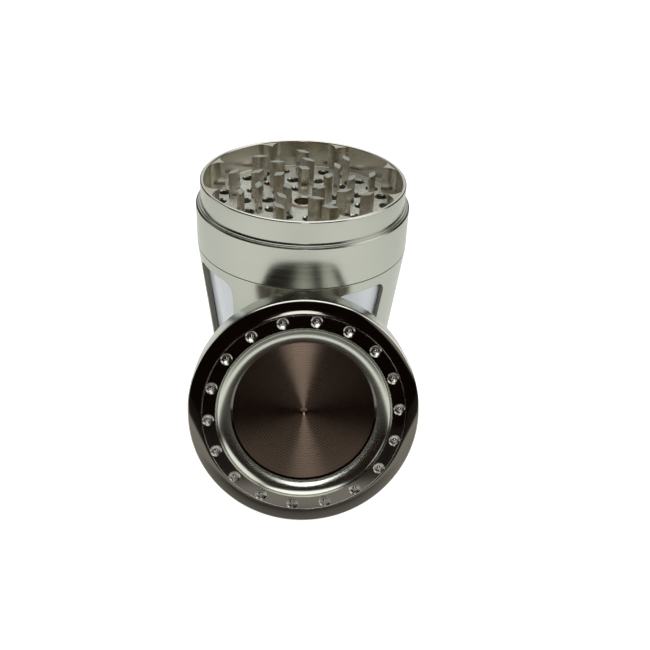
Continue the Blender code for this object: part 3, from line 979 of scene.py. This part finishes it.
class MESH_OT_grinder_magnets(Operator):
    """Build the two plated magnets"""

    bl_idname = "mesh.grinder_magnets"
    bl_label = "Magnets"

    def execute(self, context):
        lid, tints = settings(context, "lid")
        plated = mirror_metal("magnet_plate", scaled(tints.mirror, 0.9), 0.14)
        puck(
            "magnet_disc", MAGNET_R, MAGNET_LOW_Z, MAGNET_HIGH_Z, Matrix(), plated,
            "magnet_carrier", "chamber_magnet",
        )
        own = mirror_metal("lid_magnet_plate", scaled(tints.mirror, 0.9), 0.14, lid_matrix())
        puck(
            "lid_magnet_disc", lid.magnet_radius, lid.magnet_low, lid.magnet_high, lid_matrix(), own,
            "lid_core", "lid_magnet",
        )
        return {"FINISHED"}


CROWN_STEPS = 16
CROWN_TILT = (math.radians(6), math.radians(30))
CROWN_EDGE = 0.45 * MM
COVE_STEPS = 14


def lid_profile(lid):
    """From the face's centre outwards, down the side, and back inside to the hub."""
    face, disc = lid.height, lid.height - lid.disc_drop
    profile = [(0.0, disc + 0.02 * MM), (0.45 * MM, disc - 0.12 * MM), (0.9 * MM, disc)]
    radius = 1.5 * MM
    while radius < lid.disc_radius - 0.6 * MM:
        profile += [(radius, disc), (radius + 0.10 * MM, disc - 0.006 * MM), (radius + 0.2 * MM, disc)]
        radius += 0.75 * MM
    profile.append((lid.disc_radius, disc))
    rise = lid.disc_drop - 0.3 * MM
    for i in range(COVE_STEPS + 1):
        turn = math.pi / 2 * i / COVE_STEPS
        out = lid.cove_inner + (lid.cove_outer - lid.cove_inner) * math.sin(turn)
        profile.append((out, face - rise * math.cos(turn)))
    profile += [
        (lid.cove_outer + 0.12 * MM, face),
        (lid.groove_radius - 0.20 * MM, face),
        (lid.groove_radius - 0.08 * MM, face - 0.3 * MM),
        (lid.groove_radius + 0.06 * MM, face - 0.3 * MM),
        (lid.groove_radius + 0.16 * MM, face),
        (lid.face_radius, face),
    ]
    radius, height = lid.face_radius, face
    step = (BODY_R - CROWN_EDGE - lid.face_radius) / CROWN_STEPS
    for i in range(CROWN_STEPS):
        tilt = CROWN_TILT[0] + (CROWN_TILT[1] - CROWN_TILT[0]) * (i + 0.5) / CROWN_STEPS
        radius, height = radius + step, height - step * math.tan(tilt)
        profile.append((radius, height))
    profile += [
        (BODY_R - CROWN_EDGE * 0.5, height - CROWN_EDGE * 0.45),
        (BODY_R - 0.18 * MM, height - CROWN_EDGE * 1.1),
        (BODY_R, lid.side - 0.2 * MM),
        (BODY_R, 0.0),
        (lid.skirt_bore, 0.0),
        (lid.skirt_bore, lid.ring_seat),
        (lid.ring_seat_inner, lid.ring_seat),
        (lid.ring_seat_inner, lid.ceiling),
        (lid.hub_radius, lid.ceiling),
        (lid.hub_radius, lid.hub_end),
        (lid.hub_bore, lid.hub_end),
        (lid.hub_bore, lid.hub_pocket),
        (0.0, lid.hub_pocket),
    ]
    return profile


def dimple_cutter(lid):
    """A hollow ring with a dome left standing in it."""
    size, face = lid.dimple_radius, lid.height
    above, depth = face + 0.5 * MM, 0.32 * MM
    dome, dome_height = size * 0.42, 0.26 * MM
    profile = [(0.0, above), (size, above), (size, face), (size * 0.78, face - 0.26 * MM)]
    profile.append((dome, face - depth))
    for i in range(1, 6):
        turn = math.pi / 2 * i / 5
        profile.append((dome * math.cos(turn), face - depth + dome_height * math.sin(turn)))
    return lathe("dimple", profile, 32, closed=False)


class MESH_OT_grinder_lid(Operator):
    """Build the lid with its turned face and dimples"""

    bl_idname = "mesh.grinder_lid"
    bl_label = "Lid"

    def execute(self, context):
        lid, tints = settings(context, "lid")
        matrix = lid_matrix()
        obj = lathe("lid_shell", lid_profile(lid), closed=False)
        dimples = spread_copies(
            dimple_cutter(lid), ring_places(lid.dimples, lid.dimple_ring, lid.dimple_phase)
        )
        combine(obj, dimples, "DIFFERENCE")
        face, disc = lid.height, lid.height - lid.disc_drop
        finishes = [
            turned_metal("lid_side_satin", tints.plate, SATIN, matrix=matrix),
            # Dark copy of the polished plate on the face and crown, partly painted shade
            mirror_metal("lid_polished", tints.dark, 0.06, matrix),
            turned_metal("lid_cove_satin", scaled(tints.plate, 1.2), 0.17, 120.0, 0.0004 * MM, matrix),
            # Disc tint is partly painted shade
            disc_metal("lid_disc_turned", tints.disc, matrix),
            cast_metal("lid_inside_metal", tints.warm, 0.30, 1200.0, 0.008 * MM, 0.12, matrix),
            mirror_metal("lid_groove_bright", tints.mirror, 0.12, matrix),
            mirror_metal("lid_dimple_metal", scaled(tints.mirror, 0.70), 0.17, matrix),
        ]

        def choose(centre, normal):
            radius = math.hypot(centre.x, centre.y)
            if centre.z < lid.side and (radius < 31.0 * MM and normal.z < 0.5):
                return 4
            if radius > BODY_R - 0.2 * MM and normal.z < 0.4:
                return 0
            if radius > BODY_R - CROWN_EDGE and centre.z > lid.side:
                return 5
            if radius < lid.disc_radius and abs(centre.z - disc) < 0.2 * MM and normal.z > 0.1:
                return 3
            if lid.cove_inner < radius < lid.cove_outer and centre.z < face - 0.01 * MM:
                return 2
            if abs(radius - lid.groove_radius) < 0.22 * MM:
                return 5
            if abs(radius - lid.dimple_ring) < lid.dimple_radius and centre.z < face - 0.02 * MM:
                return 6
            return 1

        paint_faces(obj, finishes, choose)
        layer = obj.data.uv_layers.new(name="rings")
        obj.data.uv_layers.active = layer
        for face_data in obj.data.polygons:
            middle = math.atan2(face_data.center.y, face_data.center.x)
            for loop in face_data.loop_indices:
                place = obj.data.vertices[obj.data.loops[loop].vertex_index].co
                angle = math.atan2(place.y, place.x) if place.xy.length > 1e-6 else middle
                turn = (angle - middle + math.pi) % math.tau - math.pi
                layer.data[loop].uv = (place.xy.length / BODY_R, (middle + turn) / math.tau)
        smooth(obj, 24)
        apply_place(obj, matrix)
        rows = []
        for number, radius, phase, half_length, half_width in LID_TEETH:
            one = tooth(half_length, half_width, LID_TOOTH_END, lid.ceiling + TOOTH_ROOT)
            places = ring_places(number, radius, math.radians(phase), -TOOTH_SKEW)
            rows.append(spread_copies(one, places))
        teeth = join(rows)
        teeth.name = "lid_teeth"
        tooth_metal = cast_metal("lid_tooth_metal", tints.warm, 0.24, 900.0, 0.006 * MM, 0.10, matrix)
        dress(teeth, tooth_metal)
        apply_place(teeth, matrix)
        settle(obj, "lid", "nickel", "lid_cap")
        settle(teeth, "lid", "nickel", "lid_cap")
        return {"FINISHED"}


class MESH_OT_grinder_glide_ring(Operator):
    """Build the nylon ring inside the lid"""

    bl_idname = "mesh.grinder_glide_ring"
    bl_label = "Glide ring"

    def execute(self, context):
        lid, tints = settings(context, "lid")
        outer, inner, low, high = lid.ring_outer, lid.ring_inner, lid.ring_low, lid.ring_high
        ring = lathe("glide_ring", [(inner, low), (outer, low), (outer, high), (inner, high)])
        soften(ring, 0.2 * MM, 3)
        dress(ring, moulded_plastic("glide_nylon", tints.nylon, lid_matrix()))
        apply_place(ring, lid_matrix())
        settle(ring, "lid_core", "nylon", "lid_glide_ring")
        return {"FINISHED"}


# Stage: directions and places in the shared frame, metres, linear colours
WHITE = (1.0, 1.0, 1.0, 1.0)
FLOOR_SIZE = 6.0
SEEN_GLOW = 0.86
SEEN_GREY = (0.35, 0.35, 0.35, 1.0)
# The pale sheet is a painted pool of light: past its edge the floor takes the dark room's colour,
# painted shade seen in reflections
SHEET_CENTRE = (0.0, -20 * MM, 0.0)
SHEET_SCALE = (4.6, 4.2, 0.0)  # one over the half axes
SHEET_EDGE = (0.95, 1.25)
SHEET_TINT = (0.54, 0.545, 0.52)
SHEET_GLOW = (0.02, 0.02, 0.02)
# Painted shadow: a dark patch on the floor before the lid's foot, standing in for the lid's contact
# shadow in what the lid reflects
PAINTED_SHADOW_CENTRE = (4 * MM, -104 * MM, 0.0)
PAINTED_SHADOW_SCALE = (19.0, 23.0, 0.0)
PAINTED_SHADOW_EDGE = (0.5, 1.2)
PAINTED_SHADOW_TINT = (0.09, 0.087, 0.08)
# Bright patches of the surroundings: direction, angles where the fading starts and ends, colour
GLOWS = (
    ((0.0, 0.85, 0.53), 22.0, 50.0, (0.62, 0.64, 0.60)),
    ((0.0, 0.25, 0.97), 31.0, 40.0, (1.50, 1.52, 1.48)),
    ((0.85, -0.12, 0.50), 18.0, 28.0, (1.10, 1.10, 1.06)),
    ((-0.98, 0.15, 0.20), 14.0, 20.0, (0.80, 0.80, 0.77)),
    ((0.080, -0.950, 0.302), 4.5, 5.2, (5.2, 5.3, 5.2)),
    ((0.080, -0.900, 0.428), 4.5, 5.2, (5.2, 5.3, 5.2)),
)
# Square lamps aimed at the object: name, place, side, watts
LAMPS = (
    ("overhead", (0.0, 0.0, 0.70), 0.80, 3.4),
    ("front_left", (-0.35, -0.30, 0.22), 0.30, 1.2),
    ("front_right", (0.35, -0.30, 0.22), 0.30, 1.2),
)
SENSOR_WIDTH, LENS = 36.0, 48.74
EYE = (0.008212, -0.239706, 0.181876)
LOOK_DOWN, LOOK_ROLL = math.radians(32.63), math.radians(2.64)


class SCENE_OT_grinder_stage(Operator):
    """Add the floor, the surroundings, the lights and the camera"""

    bl_idname = "scene.grinder_stage"
    bl_label = "Stage"

    def execute(self, context):
        tints = context.scene.grinder_colours
        self.floor(tints)
        self.world(tints)
        self.lights()
        self.camera(context)
        view = context.scene.view_settings
        view.view_transform, view.look = "Standard", "None"
        view.exposure, view.gamma = 0.0, 1.0
        return {"FINISHED"}

    def floor(self, tints):
        """A white sheet with a painted shadow, a dark patch before the lid's foot; past its edge its
        colour fades to the dark room's, painted shade that reflections show.
        """
        deselect()
        bpy.ops.mesh.primitive_plane_add(size=FLOOR_SIZE, location=(0.0, 0.0, FLOOR_SURFACE))
        sheet = bpy.context.object
        sheet.name = "floor_sheet"
        nodes = Nodes(bpy.data.materials.new("floor_white"))
        outwards = nodes.length(nodes.coordinates(Matrix.Translation(SHEET_CENTRE), SHEET_SCALE))
        edge = nodes.spread(outwards, 0.0, 1.0, *SHEET_EDGE)
        # Painted shadow patch before the lid's foot
        off_painted_shadow = nodes.length(nodes.coordinates(Matrix.Translation(PAINTED_SHADOW_CENTRE), PAINTED_SHADOW_SCALE))
        off_painted_shadow = nodes.spread(off_painted_shadow, 0.0, 1.0, *PAINTED_SHADOW_EDGE)
        # Painted shade past the sheet's edge, painted shadow in the patch
        base = nodes.blend(edge, nodes.blend(off_painted_shadow, PAINTED_SHADOW_TINT, SHEET_TINT), tints.surroundings)
        glow = nodes.blend(edge, SHEET_GLOW, (0.0, 0.0, 0.0))
        nodes.surface(base, 0.9, metallic=0.0)
        nodes.put(nodes.shader, "Emission Color", glow)
        nodes.put(nodes.shader, "Emission Strength", 1.0)
        white = nodes.add("ShaderNodeEmission", [("Color", WHITE), ("Strength", SEEN_GLOW)])
        lit = nodes.add("ShaderNodeBsdfDiffuse", [("Color", SEEN_GREY)])
        both = nodes.add("ShaderNodeAddShader", [(0, white.outputs[0]), (1, lit.outputs[0])])
        nodes.by_path(both.outputs[0], nodes.shader.outputs[0], "Material Output")
        sheet.data.materials.append(nodes.owner)

    def world(self, tints):
        """Dark room with soft bright patches, and white where the camera looks past the object."""
        world = bpy.data.worlds.new("studio")
        bpy.context.scene.world = world
        nodes = Nodes(world)
        direction = nodes.add("ShaderNodeTexCoord").outputs["Generated"]
        glow = tints.surroundings
        for centre, inner, outer, tint in GLOWS:
            centre = Vector(centre).normalized()
            dot = nodes.add(
                "ShaderNodeVectorMath", [(0, direction), (1, centre)], operation="DOT_PRODUCT"
            ).outputs["Value"]
            edges = [math.cos(math.radians(angle)) for angle in (outer, inner)]
            fade = nodes.add(
                "ShaderNodeMapRange",
                [("Value", dot), ("From Min", edges[0]), ("From Max", edges[1])],
                interpolation_type="SMOOTHSTEP",
            )
            glow = nodes.blend(fade.outputs["Result"], glow, tint)
        background = nodes.tree.nodes["Background"]
        nodes.put(background, "Color", glow)
        white = nodes.add("ShaderNodeBackground", [("Color", WHITE)])
        nodes.by_path(white.outputs[0], background.outputs[0], "World Output")

    def lights(self):
        for name, place, size, power in LAMPS:
            light = bpy.data.lights.new(name, "AREA")
            light.shape = "SQUARE"
            light.size = size
            light.energy = power
            lamp = bpy.data.objects.new(name, light)
            lamp.location = place
            lamp.visible_glossy = False
            lamp.rotation_euler = (-Vector(place)).to_track_quat("-Z", "Y").to_euler()
            bpy.context.scene.collection.objects.link(lamp)

    def camera(self, context):
        camera = bpy.data.cameras.new("camera")
        camera.sensor_width = SENSOR_WIDTH
        camera.lens = LENS
        camera.clip_start = 0.01
        camera.dof.use_dof = False
        eye = bpy.data.objects.new("camera", camera)
        context.scene.collection.objects.link(eye)
        turn = Matrix.Rotation(math.pi / 2 - LOOK_DOWN, 4, "X") @ Matrix.Rotation(LOOK_ROLL, 4, "Z")
        eye.matrix_world = Matrix.Translation(EYE) @ turn
        context.scene.camera = eye


class VIEW3D_PT_grinder(Panel):
    bl_idname = "VIEW3D_PT_grinder"
    bl_label = "Hand grinder"
    bl_space_type = "VIEW_3D"
    bl_region_type = "UI"
    bl_category = "Grinder"

    def draw(self, context):
        layout = self.layout
        for operator in OPERATORS:
            layout.operator(operator.bl_idname)
        for name in SETTINGS:
            group = getattr(context.scene, name)
            box = layout.box()
            for prop in group.bl_rna.properties:
                if prop.identifier not in {"rna_type", "name"}:
                    label = bpy.path.display_name(prop.identifier)
                    box.prop(group, prop.identifier, text=label)


OPERATORS = (
    MESH_OT_grinder_bowl,
    MESH_OT_grinder_collector,
    MESH_OT_grinder_panes,
    MESH_OT_grinder_sieve,
    MESH_OT_grinder_chamber,
    MESH_OT_grinder_chamber_teeth,
    MESH_OT_grinder_magnets,
    MESH_OT_grinder_lid,
    MESH_OT_grinder_glide_ring,
    SCENE_OT_grinder_stage,
)
SETTINGS = {
    "grinder_body": GrinderBodySizes,
    "grinder_chamber": GrinderChamberSizes,
    "grinder_lid": GrinderLidSizes,
    "grinder_colours": GrinderColours,
}


def register():
    for name, group in SETTINGS.items():
        bpy.utils.register_class(group)
        setattr(bpy.types.Scene, name, PointerProperty(type=group))
    for operator in OPERATORS:
        bpy.utils.register_class(operator)
    bpy.utils.register_class(VIEW3D_PT_grinder)


def unregister():
    bpy.utils.unregister_class(VIEW3D_PT_grinder)
    for operator in reversed(OPERATORS):
        bpy.utils.unregister_class(operator)
    for name, group in SETTINGS.items():
        delattr(bpy.types.Scene, name)
        bpy.utils.unregister_class(group)


def main():
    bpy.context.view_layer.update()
    register()
    for operator in OPERATORS:
        family, name = operator.bl_idname.split(".")
        getattr(getattr(bpy.ops, family), name)()


if __name__ == "__main__":
    main()
